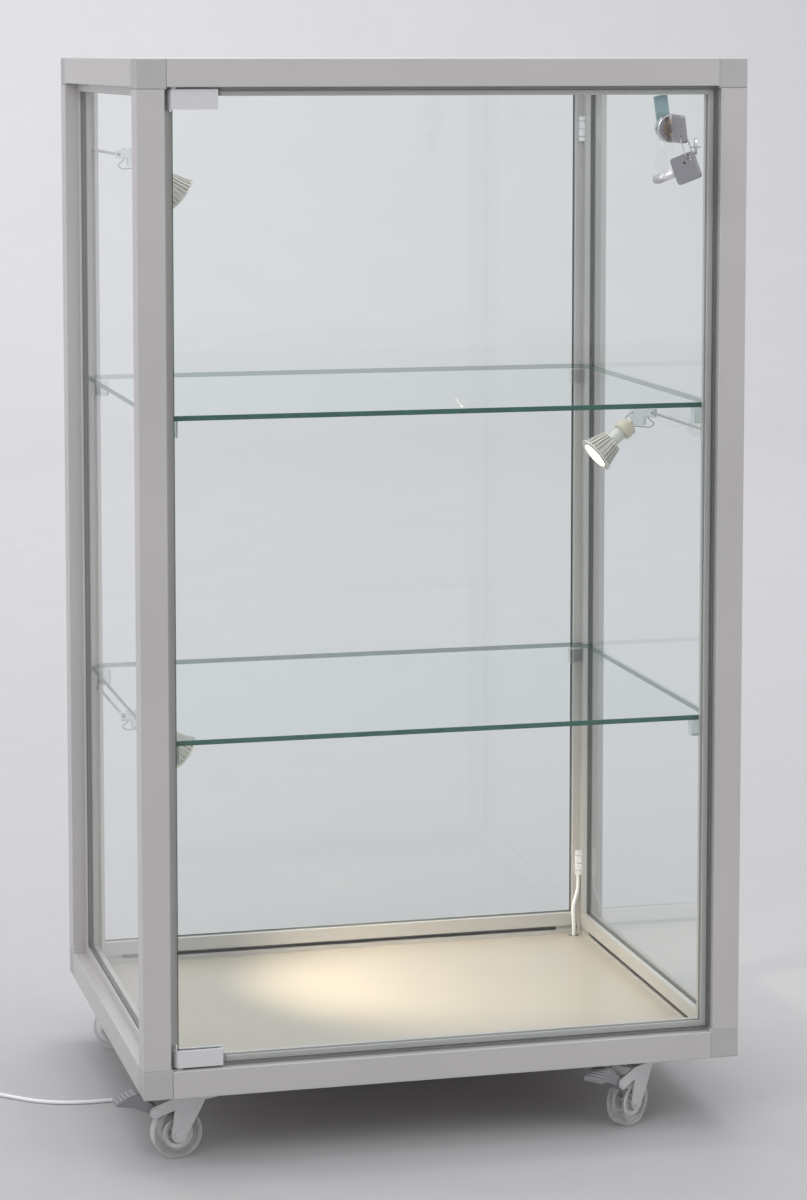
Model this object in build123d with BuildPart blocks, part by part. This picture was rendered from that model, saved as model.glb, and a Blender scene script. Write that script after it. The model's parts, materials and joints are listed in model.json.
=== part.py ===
from build123d import *
import math
import os

os.makedirs("parts", exist_ok=True)

# The showcase is drawn about the middle of its frame: X to the right, Y to the back, Z up from the
# floor. Millimetres and degrees.

# Frame
frame_width = 605.0
frame_depth = 480.0
frame_height = 1000.0
castor_height = 72.0
profile = 27.0
profile_wall = 2.0
profile_edge_radius = 0.8
lip_stand = 8.5
outer_lip = (13.5, 15.5)
inner_lip = (21.5, 27.0)
cube = 29.0
cube_edge_radius = 1.2
spigot_side = 22.8
spigot_length = 25.0

# Glass
glass = 5.0
pane_depth = 16.0
pane_margin = 29.5
seal_thickness = 0.5
seal_width = 6.0

# Door and its pivots
door_depth = 8.0
door_gap = 3.0
pivot_from_side = 37.0
glass_past_pivot = 1.6
clamp_length = 48.2
clamp_cheek = 3.0
clamp_pad = 0.5
clamp_web = 4.5
upper_clamp_height = 19.0
lower_clamp_height = 16.5
clamp_gap = 2.0
clamp_reach = 23.0
pin_radius = 2.5
running_clearance = 0.03

# Lock and keys
lock_x = 226.0
lock_below_top = 68.3
rosette_radius = 14.0
rosette_thickness = 4.0
barrel_radius = 9.5
barrel_end = 24.5
plug_radius = 6.0
plug_face_radius = 9.0
cam_width = 13.6
cam_lean = 8.2
cam_tip_radius = 32.4
cam_front = 25.0
cam_thickness = 2.5
key_lean = 7.0
key_head_height = 27.0
key_head_length = 28.0
key_head_thickness = 4.6
key_head_start = 10.0
key_blade_height = 8.5
key_blade_thickness = 2.0
key_blade_length = 27.0
key_hole_radius = 2.3
key_hole_inset = 5.6
link_wire_radius = 0.6
link_half_width = 4.2
tag_radius = 8.0
tag_thickness = 2.2

# Inside
deck_thickness = 12.0
shelf_tops = (732.0, 417.0)
support_width = 15.5
support_height = 16.0
support_depth = 12.0
lead_radius = 2.0
grommet_x = 266.0
grommet_y = 204.0
grommet_flange = 1.5
grommet_flange_radius = 6.3

# Lamps: the height of each arm and the corner it hangs on
lamp_clip_x = 272.3
lamp_clip_y = 208.0
lamp_heights = {"right": 704.0, "upper_left": 974.0, "lower_left": 392.0}
arm_radius = 1.6
arm_length = 163.0
beam = Vector(-0.781, -0.081, -0.617).normalized()
socket_centre = Vector(-30, 163, -16)
socket_length = 12.0
neck_length = 14.0
bell_length = 23.0
rim_radius = 19.8
fins = 24

# Castors
wheel_radius = 25.0
wheel_width = 20.0
trail = 28.0
castor_plate = 42.0
plate_thickness = 2.5
kingpin_radius = 5.0
axle_radius = 3.0
leg_inner = 10.6
leg_thickness = 2.0
brake_pivot = (52.0, 50.0)
castor_stems = {
    "front_left": (-235.0, -190.0, 186.5),
    "front_right": (219.0, -190.0, 217.0),
    "back_left": (-235.0, 165.0, 160.0),
    "back_right": (219.0, 165.0, 205.0),
}

# Supply lead
lead_route = [
    (266, 204, 78),
    (266, 204, 54),
    (275, 195, 19),
    (285, 168, 2),
    (281, 134, 2),
    (258, 101, 2),
    (217, 80, 2),
    (166, 60, 2),
    (112, 46, 2),
    (56, 37, 2),
    (1, 32, 2),
    (-55, 29, 2),
    (-110, 24, 2),
    (-166, 15, 2),
    (-222, 4, 2),
    (-278, -8, 2),
    (-332, -10, 2),
    (-368, 2, 2),
    (-396, 27, 2),
    (-423, 52, 4),
    (-447, 62, 6),
]
coil_x = -452.0
coil_y = 40.0
coil_radius = 22.0
coil_bundle = 6.5
coil_turns = 8
tail_length = 42.0
adapter_length = 70.0
adapter_height = 44.0
adapter_thickness = 32.0

# The whole is moved by this much, so that the box round it, keys and brake pedal included, is
# centred over the origin.
centring = (11.0, 17.5, 0.0)

# Worked-out places
half_width = frame_width / 2
half_depth = frame_depth / 2
left = -half_width
front = -half_depth
base_z = castor_height
top_z = castor_height + frame_height
inner_x = half_width - profile
inner_y = half_depth - profile
lip_reach = profile + lip_stand
pivot_x = left + pivot_from_side
pivot_y = front + door_depth + glass / 2
lock_z = top_z - lock_below_top
deck_top = base_z + deck_thickness
signs = (-1, 1)


def save(part, name):
    """Label one finished piece and write it at its place in the centred whole."""
    placed = part.moved(Location(centring))
    placed.label = name
    export_step(placed, f"parts/{name}.step")


# ---------------------------------------------------------------------------------------- frame

def square_tube(sketch, corner, inward):
    """The hollow square of the profile, from its outer corner towards the inside of the case."""
    middle = (corner[0] + inward[0] * profile / 2, corner[1] + inward[1] * profile / 2)
    with Locations(middle):
        Rectangle(profile, profile)
    outer = sketch.vertices().sort_by_distance((corner[0], corner[1], 0))[:3]
    fillet(outer, radius=profile_edge_radius)
    with Locations(middle):
        Rectangle(profile - 2 * profile_wall, profile - 2 * profile_wall, mode=Mode.SUBTRACT)


def lips_along_first(corner, inward):
    """The two lips that stand out along the first sketch direction."""
    for near, far in (outer_lip, inner_lip):
        u = corner[0] + inward[0] * (profile + lip_stand / 2)
        v = corner[1] + inward[1] * (near + far) / 2
        with Locations((u, v)):
            Rectangle(lip_stand, far - near)


def lips_along_second(corner, inward):
    """The two lips that stand out along the second sketch direction."""
    for near, far in (outer_lip, inner_lip):
        u = corner[0] + inward[0] * (near + far) / 2
        v = corner[1] + inward[1] * (profile + lip_stand / 2)
        with Locations((u, v)):
            Rectangle(far - near, lip_stand)


def cube_centres():
    """Centres of the eight corner cubes."""
    return [
        (sx * (half_width - cube / 2), sy * (half_depth - cube / 2), z)
        for sx in signs
        for sy in signs
        for z in (base_z + cube / 2, top_z - cube / 2)
    ]


def make_post(name, sx, sy):
    """One corner post with its glazing lips."""
    corner = (sx * half_width, sy * half_depth)
    inward = (-sx, -sy)
    with BuildPart() as post:
        with BuildSketch(Plane.XY.offset(base_z + cube)) as section:
            square_tube(section, corner, inward)
        extrude(amount=frame_height - 2 * cube)
        with BuildSketch(Plane.XY.offset(base_z + profile)):
            lips_along_first(corner, inward)
            lips_along_second(corner, inward)
        extrude(amount=frame_height - 2 * profile)
        with Locations(cube_centres()):
            Box(cube, cube, cube, mode=Mode.SUBTRACT)
        if name == "post_front_left":
            clamp_y = front + outer_lip[1] - 1.0
            clamp_x = -inner_x + lip_stand
            with Locations((clamp_x, clamp_y, base_z + profile), (clamp_x, clamp_y, top_z - profile)):
                Box(2 * lip_stand, 4.0, 2 * clamp_reach, mode=Mode.SUBTRACT)
    save(post.part, name)


def make_rails(name, z_outer, z_inward):
    """The four top or bottom rails: two across, two from front to back."""
    with BuildPart() as rails:
        for sy in signs:
            corner = (sy * half_depth, z_outer)
            inward = (-sy, z_inward)
            with BuildSketch(Plane.YZ) as across:
                square_tube(across, corner, inward)
            extrude(amount=half_width - cube, both=True)
            with BuildSketch(Plane.YZ):
                lips_along_second(corner, inward)
                if z_inward < 0:
                    lips_along_first(corner, inward)
            extrude(amount=half_width - lip_reach, both=True)
        for sx in signs:
            corner = (sx * half_width, z_outer)
            inward = (-sx, z_inward)
            with BuildSketch(Plane.XZ) as along:
                square_tube(along, corner, inward)
            extrude(amount=half_depth - cube, both=True)
            with BuildSketch(Plane.XZ):
                lips_along_second(corner, inward)
            extrude(amount=half_depth - lip_reach, both=True)
            if z_inward < 0:
                with BuildSketch(Plane.XZ):
                    lips_along_first(corner, inward)
                extrude(amount=half_depth - cube, both=True)
        cut_rail_details(z_inward)
    save(rails.part, name)


def cut_rail_details(z_inward):
    """Lip cut-outs for the clamps, the pin hole, and the slot in each bottom rail."""
    length = clamp_length + 8.0
    lip_height = lip_stand + 1.0
    rail_face = top_z - profile if z_inward < 0 else base_z + profile
    with Locations((-inner_x + length / 2, front + outer_lip[1] - 1.0, rail_face + z_inward * lip_height / 2)):
        Box(length, 4.0, lip_height, mode=Mode.SUBTRACT)
    with Locations((pivot_x, pivot_y, rail_face)):
        Cylinder(pin_radius + running_clearance, 3 * profile_wall, mode=Mode.SUBTRACT)
    if z_inward > 0:
        slot_z = base_z + 18.8
        with Locations((0, -inner_y, slot_z), (0, inner_y, slot_z)):
            Box(frame_width - 2 * cube, 2 * profile_wall, 4.5, mode=Mode.SUBTRACT)
        with Locations((-inner_x, 0, slot_z), (inner_x, 0, slot_z)):
            Box(2 * profile_wall, frame_depth - 2 * cube, 4.5, mode=Mode.SUBTRACT)


def make_corner_cubes():
    """Eight cubes with the spigots that fill the ends of the profiles."""
    with BuildPart() as cubes:
        with Locations(cube_centres()):
            Box(cube, cube, cube)
        fillet(cubes.edges(), radius=cube_edge_radius)
        reach = (cube - profile) / 2
        for x, y, z in cube_centres():
            sx = math.copysign(1, x)
            sy = math.copysign(1, y)
            sz = 1 if z > frame_height / 2 else -1
            axis_x = x + sx * reach
            axis_y = y + sy * reach
            axis_z = z + sz * reach
            spigot_offset = cube / 2 + spigot_length / 2 - 0.5
            with Locations((x - sx * spigot_offset, axis_y, axis_z)):
                Box(spigot_length + 1, spigot_side, spigot_side)
            with Locations((axis_x, y - sy * spigot_offset, axis_z)):
                Box(spigot_side, spigot_length + 1, spigot_side)
            with Locations((axis_x, axis_y, z - sz * spigot_offset)):
                Box(spigot_side, spigot_side, spigot_length + 1)
        with Locations((pivot_x, pivot_y, top_z - profile), (pivot_x, pivot_y, base_z + profile)):
            Cylinder(pin_radius + running_clearance, 22.0, mode=Mode.SUBTRACT)
    save(cubes.part, "corner_cubes")


# ---------------------------------------------------------------------------------------- glass

def make_panes():
    """Top, left, right and back panes, each held in the grooves of the frame."""
    wide = frame_width - 2 * pane_margin
    deep = frame_depth - 2 * pane_margin
    tall = frame_height - 2 * pane_margin
    middle_z = base_z + frame_height / 2
    inset = pane_depth + glass / 2
    with BuildPart() as top_glass:
        with Locations((0, 0, top_z - inset)):
            Box(wide, deep, glass)
        chamfer(top_glass.edges(), length=0.4)
    save(top_glass.part, "top_glass")
    with BuildPart() as left_glass:
        with Locations((left + inset, 0, middle_z)):
            Box(glass, deep, tall)
        chamfer(left_glass.edges(), length=0.4)
    save(left_glass.part, "left_glass")
    with BuildPart() as right_glass:
        with Locations((half_width - inset, 0, middle_z)):
            Box(glass, deep, tall)
        chamfer(right_glass.edges(), length=0.4)
    save(right_glass.part, "right_glass")
    with BuildPart() as back_glass:
        with Locations((0, half_depth - inset, middle_z)):
            Box(wide, glass, tall)
        chamfer(back_glass.edges(), length=0.4)
    save(back_glass.part, "back_glass")


def make_seals():
    """Thin seal frames on both sides of each fixed pane, inside its grooves."""
    wide = frame_width - 2 * pane_margin - 1.0
    deep = frame_depth - 2 * pane_margin - 1.0
    tall = frame_height - 2 * pane_margin - 1.0
    middle_z = base_z + frame_height / 2
    depths = (pane_depth - seal_thickness / 2, pane_depth + glass + seal_thickness / 2)
    with BuildPart() as seals:
        for depth in depths:
            with Locations((0, 0, top_z - depth)):
                Box(wide, deep, seal_thickness)
            with Locations((left + depth, 0, middle_z), (half_width - depth, 0, middle_z)):
                Box(seal_thickness, deep, tall)
            with Locations((0, half_depth - depth, middle_z)):
                Box(wide, seal_thickness, tall)
        with Locations((0, 0, top_z - pane_depth)):
            Box(wide - 2 * seal_width, deep - 2 * seal_width, 20.0, mode=Mode.SUBTRACT)
        with Locations((0, 0, middle_z)):
            Box(2 * frame_width, deep - 2 * seal_width, tall - 2 * seal_width, mode=Mode.SUBTRACT)
        with Locations((0, half_depth, middle_z)):
            Box(wide - 2 * seal_width, frame_depth / 2, tall - 2 * seal_width, mode=Mode.SUBTRACT)
    save(seals.part, "glazing_seals")


def make_shelves():
    """Two glass shelves, stepped at their ends to pass between the lips of the posts."""
    shelf_front = -212.0
    shelf_back = 217.0
    for name, z_top in zip(("upper_shelf", "lower_shelf"), shelf_tops):
        with BuildPart() as shelf:
            with BuildSketch(Plane.XY.offset(z_top - glass)):
                Rectangle(2 * 280.0, 2 * (inner_y - lip_stand - 0.5))
                with Locations((0, (shelf_front + inner_y - 0.5) / 2)):
                    Rectangle(2 * (inner_x - 0.5), inner_y - 0.5 - shelf_front)
                with Locations((0, (shelf_front + shelf_back) / 2)):
                    Rectangle(2 * (inner_x - lip_stand - 0.6), shelf_back - shelf_front)
            extrude(amount=glass)
            chamfer(shelf.faces().filter_by(Axis.Z).edges(), length=0.4)
        save(shelf.part, name)


# ----------------------------------------------------------------------------------------- door

def make_door():
    """The glass door leaf, notched at the clamps and bored for the lock."""
    door_left = pivot_x - glass_past_pivot
    door_right = inner_x - door_gap
    door_bottom = base_z + profile + door_gap
    door_top = top_z - profile - door_gap
    with BuildPart() as door:
        with Locations(((door_left + door_right) / 2, pivot_y, (door_bottom + door_top) / 2)):
            Box(door_right - door_left, glass, door_top - door_bottom)
        chamfer(door.edges(), length=0.4)
        notch_length = 2 * (clamp_length - 3.6)
        notch_height = 2 * (clamp_gap + clamp_web + 0.5 - door_gap)
        with Locations((door_left, pivot_y, door_top), (door_left, pivot_y, door_bottom)):
            Box(notch_length, 2 * glass, notch_height, mode=Mode.SUBTRACT)
        with BuildSketch(Plane.XZ.offset(-pivot_y)):
            with Locations((lock_x, lock_z)):
                Circle(barrel_radius + 0.3)
        extrude(amount=glass, both=True, mode=Mode.SUBTRACT)
    save(door.part, "glass_door")


def clamp_outline(thickness_each_side):
    """Plan of a clamp: round about the pivot at its left end."""
    reach = clamp_length - thickness_each_side
    with Locations((pivot_x, pivot_y)):
        Circle(thickness_each_side)
    with Locations((pivot_x + reach / 2, pivot_y)):
        Rectangle(reach, 2 * thickness_each_side)


def clamp_levels():
    """Bottom, height and direction of the web of the two clamps."""
    upper = top_z - profile - clamp_gap - upper_clamp_height
    lower = base_z + profile + clamp_gap
    return {"upper": (upper, upper_clamp_height, 1), "lower": (lower, lower_clamp_height, -1)}


def make_clamps():
    """The two pivot clamps that hold the door between a front and a rear cheek."""
    half_thickness = glass / 2 + clamp_pad + clamp_cheek
    slot_left = pivot_x - glass_past_pivot - 0.5
    slot_right = pivot_x + clamp_length
    for level, (bottom, height, web_side) in clamp_levels().items():
        with BuildPart() as clamp:
            with BuildSketch(Plane.XY.offset(bottom)):
                clamp_outline(half_thickness)
            extrude(amount=height)
            fillet(clamp.edges().group_by(Axis.X)[-1], radius=1.2)
            slot_z = bottom + height / 2 - web_side * clamp_web
            with Locations(((slot_left + slot_right) / 2, pivot_y, slot_z)):
                Box(slot_right - slot_left, glass + 2 * clamp_pad, height, mode=Mode.SUBTRACT)
            with Locations((pivot_x, pivot_y, bottom + height / 2)):
                Cylinder(pin_radius + running_clearance, height + 2, mode=Mode.SUBTRACT)
            with BuildSketch(Plane.XZ.offset(-pivot_y)):
                with Locations(screw_places(bottom, height, web_side)):
                    Circle(2.05)
            extrude(amount=-2 * half_thickness, mode=Mode.SUBTRACT)
        save(clamp.part, f"{level}_hinge_clamp")


def screw_places(bottom, height, web_side):
    """Centres of the two grub screws of a clamp, in X and Z."""
    z = bottom + height / 2 - web_side * clamp_web / 2
    return [(pivot_x + 14.0, z), (pivot_x + 32.0, z)]


def make_clamp_small_parts():
    """Pads beside the glass, grub screws in the rear cheeks, and the pivot pins."""
    pad_left = pivot_x + 6.0
    pad_length = clamp_length - 16.0
    half_thickness = glass / 2 + clamp_pad + clamp_cheek
    with BuildPart() as pads:
        for bottom, height, web_side in clamp_levels().values():
            pad_height = height - clamp_web - 1.5
            pad_z = bottom + height / 2 - web_side * clamp_web / 2
            for side in signs:
                y = pivot_y + side * (glass + clamp_pad) / 2
                with Locations((pad_left + pad_length / 2, y, pad_z)):
                    Box(pad_length, clamp_pad, pad_height)
    save(pads.part, "hinge_clamp_pads")
    with BuildPart() as screws:
        for bottom, height, web_side in clamp_levels().values():
            with BuildSketch(Plane.XZ.offset(-(pivot_y + glass / 2 + clamp_pad))):
                with Locations(screw_places(bottom, height, web_side)):
                    Circle(2.0)
                    RegularPolygon(1.1, 6, mode=Mode.SUBTRACT)
            extrude(amount=-clamp_cheek)
    save(screws.part, "hinge_clamp_screws")
    with BuildPart() as pins:
        for level, (bottom, height, web_side) in clamp_levels().items():
            rail_face = top_z - profile if web_side > 0 else base_z + profile
            inner_end = rail_face - web_side * (clamp_gap + clamp_web - 0.4)
            outer_end = rail_face + web_side * 10.0
            with Locations((pivot_x, pivot_y, (inner_end + outer_end) / 2)):
                Cylinder(pin_radius, abs(outer_end - inner_end))
            with Locations((pivot_x, pivot_y, rail_face - web_side * 0.8)):
                Cylinder(4.2, 1.6)
    save(pins.part, "hinge_pins")


# ----------------------------------------------------------------------------------------- lock

def front_plane(depth):
    """A plane parallel to the front, this far behind the front face, with its normal to the back."""
    return Plane(origin=(lock_x, front + depth, lock_z), x_dir=(-1, 0, 0), z_dir=(0, 1, 0))


def make_lock():
    """Housing with rosette, nut, turning plug and cam."""
    with BuildPart() as housing:
        with BuildSketch(front_plane(door_depth - rosette_thickness)):
            Circle(rosette_radius)
        extrude(amount=rosette_thickness)
        fillet(housing.edges().sort_by(Axis.Y)[0], radius=1.5)
        with BuildSketch(front_plane(door_depth)):
            Circle(barrel_radius)
        extrude(amount=barrel_end - door_depth)
        with BuildSketch(front_plane(door_depth - rosette_thickness)):
            Circle(plug_face_radius + running_clearance)
        extrude(amount=2.0, mode=Mode.SUBTRACT)
        with BuildSketch(front_plane(0)):
            Circle(plug_radius + running_clearance)
        extrude(amount=barrel_end + 5, mode=Mode.SUBTRACT)
    save(housing.part, "lock_housing")
    with BuildPart() as nut:
        with BuildSketch(front_plane(door_depth + glass)):
            RegularPolygon(13.5, 6)
            Circle(barrel_radius + 0.02, mode=Mode.SUBTRACT)
        extrude(amount=5.0)
    save(nut.part, "lock_nut")
    with BuildPart() as plug:
        with BuildSketch(front_plane(door_depth - rosette_thickness + 0.3)):
            Circle(plug_face_radius)
        extrude(amount=1.5)
        with BuildSketch(front_plane(door_depth - rosette_thickness + 1.8)):
            Circle(plug_radius)
        extrude(amount=cam_front + cam_thickness + 1.0 - (door_depth - rosette_thickness + 1.8))
        with BuildSketch(front_plane(door_depth - rosette_thickness)):
            Rectangle(key_blade_thickness + 0.2, key_blade_height + 0.2, rotation=-key_lean)
        extrude(amount=key_blade_length + 1 - key_head_start, mode=Mode.SUBTRACT)
    save(plug.part, "lock_cylinder")
    with BuildPart() as cam:
        with BuildSketch(front_plane(cam_front)):
            Circle(cam_tip_radius)
            with Locations(Location((0, 0), -cam_lean)):
                Rectangle(cam_width, 2 * cam_tip_radius + 1, mode=Mode.INTERSECT)
            with Locations(Location((0, 0), -cam_lean)):
                with Locations((0, -cam_tip_radius)):
                    Rectangle(2 * cam_width, 2 * cam_tip_radius - 2 * plug_radius, mode=Mode.SUBTRACT)
            Circle(plug_radius + 3.5)
            Circle(plug_radius, mode=Mode.SUBTRACT)
        extrude(amount=cam_thickness)
    save(cam.part, "lock_cam")


def make_key(plane, hole, name):
    """A key: its head centred on the plane, its blade along the plane's x direction."""
    with BuildPart() as key:
        with BuildSketch(plane.offset(-key_head_thickness / 2)):
            RectangleRounded(key_head_length, key_head_height, 3.5)
        extrude(amount=key_head_thickness)
        fillet(key.faces().filter_by(lambda f: f.area > 500).edges(), radius=0.7)
        with BuildSketch(plane.offset(-key_blade_thickness / 2)):
            blade_outline()
        extrude(amount=key_blade_thickness)
        with BuildSketch(plane.offset(-key_head_thickness / 2)):
            with Locations(hole):
                Circle(key_hole_radius)
        extrude(amount=key_head_thickness, mode=Mode.SUBTRACT)
        for side in signs:
            with BuildSketch(plane.offset(side * (key_head_thickness / 2 - 1.1))):
                with Locations(hole):
                    Circle(key_hole_radius)
            extrude(amount=side * 1.1, taper=-40, mode=Mode.SUBTRACT)
    save(key.part, name)


def blade_outline():
    """Straight blade with a pointed tip and cuts along one edge."""
    start = key_head_length / 2 - 2
    end = key_head_length / 2 + key_blade_length
    half = key_blade_height / 2
    Polygon(
        (start, -half), (end - 4, -half), (end, -half / 3), (end - 2, half), (start, half), align=None
    )
    with Locations([(end - 5 - 4.2 * i, -half) for i in range(4)]):
        RegularPolygon(1.5, 4, rotation=45, mode=Mode.SUBTRACT)


lower_hole = (key_hole_inset - key_head_length / 2, key_hole_inset - key_head_height / 2)
upper_hole = (lower_hole[0], -lower_hole[1])
lean = math.radians(key_lean)
door_key_plane = Plane(
    origin=(lock_x, front + door_depth - rosette_thickness - key_head_start - key_head_length / 2, lock_z),
    x_dir=(0, 1, 0),
    z_dir=(math.cos(lean), 0, math.sin(lean)),
)
spare_blade = Vector(-0.54, 0.77, -0.33).normalized()
spare_normal = Vector(0.784, 0.6025, 0.1234).normalized()
spare_key_plane = Plane(origin=(230.0, front - 28.0, 966.2), x_dir=spare_blade, z_dir=spare_normal)
door_key_hole = door_key_plane.from_local_coords(Vector(*lower_hole, 0))
spare_key_hole = spare_key_plane.from_local_coords(Vector(*upper_hole, 0))


def make_key_ring():
    """The wire link between the keys, with a round tag on a short stem."""
    along = (spare_key_hole - door_key_hole).normalized()
    across = (door_key_plane.z_dir + spare_normal).normalized()
    across = (across - along * across.dot(along)).normalized()
    middle = (door_key_hole + spare_key_hole) / 2
    straight = (spare_key_hole - door_key_hole).length / 2 - link_half_width
    link_plane = Plane(origin=middle, x_dir=along, z_dir=along.cross(across))
    with BuildPart() as ring:
        with BuildLine(link_plane) as link:
            Line((-straight, link_half_width), (straight, link_half_width))
            ThreePointArc(
                (straight, link_half_width), (straight + link_half_width, 0), (straight, -link_half_width)
            )
            Line((straight, -link_half_width), (-straight, -link_half_width))
            ThreePointArc(
                (-straight, -link_half_width), (-straight - link_half_width, 0), (-straight, link_half_width)
            )
        with BuildSketch(Plane(origin=link_plane.from_local_coords(Vector(0, link_half_width, 0)), z_dir=along)):
            Circle(link_wire_radius)
        sweep(path=link.wires()[0])
        stem_start = link_plane.from_local_coords(Vector(0, link_half_width, 0))
        tag_direction = Vector(0.9696, -0.2447, 0).normalized()
        with BuildSketch(Plane(origin=stem_start, z_dir=tag_direction)):
            Circle(1.0)
        extrude(amount=5.0)
        with BuildSketch(Plane(origin=stem_start + tag_direction * 4.2, z_dir=tag_direction)):
            Circle(tag_radius)
        extrude(amount=tag_thickness)
        with BuildSketch(Plane(origin=stem_start + tag_direction * (4.2 + tag_thickness), z_dir=tag_direction)):
            Circle(1.6)
        extrude(amount=4.0, taper=15)
    save(ring.part, "key_ring")


# --------------------------------------------------------------------------------------- inside

def make_deck():
    """The base board, notched at the corner cubes and drilled for the screws and the lead."""
    clearance = 0.2
    with BuildPart() as deck:
        with Locations((0, 0, base_z + deck_thickness / 2)):
            Box(2 * (inner_x - clearance), 2 * (inner_y - clearance), deck_thickness)
        with Locations(cube_centres()):
            Box(cube + 0.4, cube + 0.4, cube + 0.4, mode=Mode.SUBTRACT)
        with Locations((grommet_x, grommet_y, base_z)):
            Cylinder(5.0, 4 * deck_thickness, mode=Mode.SUBTRACT)
        with Locations((grommet_x, grommet_y, deck_top - grommet_flange / 2)):
            Cylinder(grommet_flange_radius + 0.05, grommet_flange, mode=Mode.SUBTRACT)
        with Locations([(x, y, base_z + 5.0) for x, y in castor_screw_places()]):
            Cylinder(2.05, 11.0, mode=Mode.SUBTRACT)
    save(deck.part, "base_deck")
    with BuildPart() as grommet:
        with Locations((grommet_x, grommet_y, base_z - 0.6)):
            Cylinder(6.0, 1.2)
        with Locations((grommet_x, grommet_y, base_z + deck_thickness / 2)):
            Cylinder(4.95, deck_thickness)
        with Locations((grommet_x, grommet_y, deck_top - grommet_flange / 2)):
            Cylinder(grommet_flange_radius, grommet_flange)
        with Locations((grommet_x, grommet_y, deck_top)):
            Cylinder(lead_radius + 0.05, 60.0, mode=Mode.SUBTRACT)
    save(grommet.part, "cable_grommet")


def make_shelf_supports():
    """Eight clear blocks under the corners of the shelves, beside the posts."""
    x = inner_x - support_width / 2
    y = inner_y - support_depth / 2
    with BuildPart() as supports:
        for shelf_top in shelf_tops:
            z = shelf_top - glass - support_height / 2
            with Locations([(sx * x, sy * y, z) for sx in signs for sy in signs]):
                Box(support_width, support_depth, support_height)
        chamfer(supports.edges().filter_by(Axis.Z), length=0.8)
    save(supports.part, "shelf_supports")


def make_feed():
    """Two connectors on the back right post and the lead from the lower one to the deck."""
    x = inner_x - 2.9
    y = inner_y - 3.0
    levels = (base_z + 80.0, top_z - 92.0)
    segments = ((0.0, 4.6), (5.4, 13.2), (14.0, 21.8), (22.6, 27.2))
    with BuildPart() as connectors:
        for level in levels:
            with Locations((x + 0.9, y + 1.0, level + 13.6)):
                Box(4.0, 4.0, 27.2)
            for low, high in segments:
                with Locations((x, y, level + (low + high) / 2)):
                    Box(5.8, 6.0, high - low)
    save(connectors.part, "feed_connectors")
    route = [
        (x, y, levels[0]),
        (x, y, levels[0] - 17),
        (x - 7.5, y - 3.5, levels[0] - 36),
        (grommet_x, grommet_y, deck_top + 13),
        (grommet_x, grommet_y, 78),
    ]
    feed, feed_length = lead_tube(route, "feed_cable")
    save(feed, "feed_cable")


def route_radii(points):
    """The arc at each corner of a lead: as large as its two straight runs allow."""
    radii = []
    for before, here, after in zip(points, points[1:], points[2:]):
        arriving = Vector(*here) - Vector(*before)
        leaving = Vector(*after) - Vector(*here)
        half_turn = math.radians(arriving.get_angle(leaving)) / 2
        radii.append(0.45 * min(arriving.length, leaving.length) / math.tan(half_turn))
    return radii


def lead_tube(points, name):
    """A round lead along the route, with its length, volume and radii printed."""
    radii = route_radii(points)
    with BuildPart() as lead:
        with BuildLine() as path:
            FilletPolyline(*points, radius=radii)
        with BuildSketch(Plane(origin=path.wires()[0] @ 0, z_dir=path.wires()[0] % 0)):
            Circle(lead_radius)
        sweep(path=path.wires()[0])
    length = path.wires()[0].length
    print(f"{name}: length {length:.1f}, section times length {math.pi * lead_radius**2 * length:.0f},"
          f" volume {lead.part.volume:.0f}, radii", [round(r, 1) for r in radii])
    return lead.part, length


def make_supply():
    """The lead on the floor, its coil, and the plug-in adapter at its end."""
    outer = coil_radius + coil_bundle
    with BuildPart() as coil:
        with BuildSketch(Plane(origin=(coil_x, coil_y, coil_bundle))):
            Circle(outer)
            Circle(coil_radius - coil_bundle, mode=Mode.SUBTRACT)
        extrude(amount=coil_bundle, both=True)
        fillet(coil.edges().filter_by(GeomType.CIRCLE), radius=3.0)
    save(coil.part, "power_lead_coil")
    floor_lead, floor_length = lead_tube(lead_route, "power_lead")
    tail_start = (coil_x, coil_y + coil_radius, coil_bundle)
    tail_end = (coil_x - tail_length, coil_y + coil_radius, coil_bundle)
    with BuildPart() as lead:
        add(floor_lead)
        with BuildSketch(Plane(origin=tail_start, z_dir=(-1, 0, 0))):
            Circle(lead_radius)
        extrude(amount=tail_length)
        add(coil.part, mode=Mode.SUBTRACT)
    save(lead.part, "power_lead")
    coiled = coil_turns * 2 * math.pi * coil_radius
    print(f"coiled length {coiled:.0f}, whole lead {floor_length + coiled + tail_length:.0f}")
    body_x = tail_end[0] - 12.0 - adapter_length / 2
    body_y = tail_end[1] - adapter_thickness / 2 + 10.0
    with BuildPart() as adapter:
        with Locations((body_x, body_y, adapter_height / 2)):
            Box(adapter_length, adapter_thickness, adapter_height)
        fillet(adapter.edges(), radius=3.0)
        with BuildSketch(Plane(origin=tail_end, z_dir=(-1, 0, 0))):
            Circle(3.2)
        extrude(amount=16.0, taper=-5)
        with BuildSketch(Plane.XZ.offset(-body_y)):
            with Locations((body_x - 18, adapter_height / 2 - 9.5), (body_x - 18, adapter_height / 2 + 9.5)):
                Circle(2.4)
        extrude(amount=adapter_thickness / 2 + 19.0)
    save(adapter.part, "power_adapter")


# ---------------------------------------------------------------------------------------- lamps

def lamp_places():
    """Where each lamp's post clip stands, and how it is turned."""
    places = {}
    for name, height in lamp_heights.items():
        if name == "right":
            places[name] = Location((lamp_clip_x, -lamp_clip_y, height))
        else:
            places[name] = Location((-lamp_clip_x, lamp_clip_y, height), (0, 0, 180))
    return places


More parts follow.
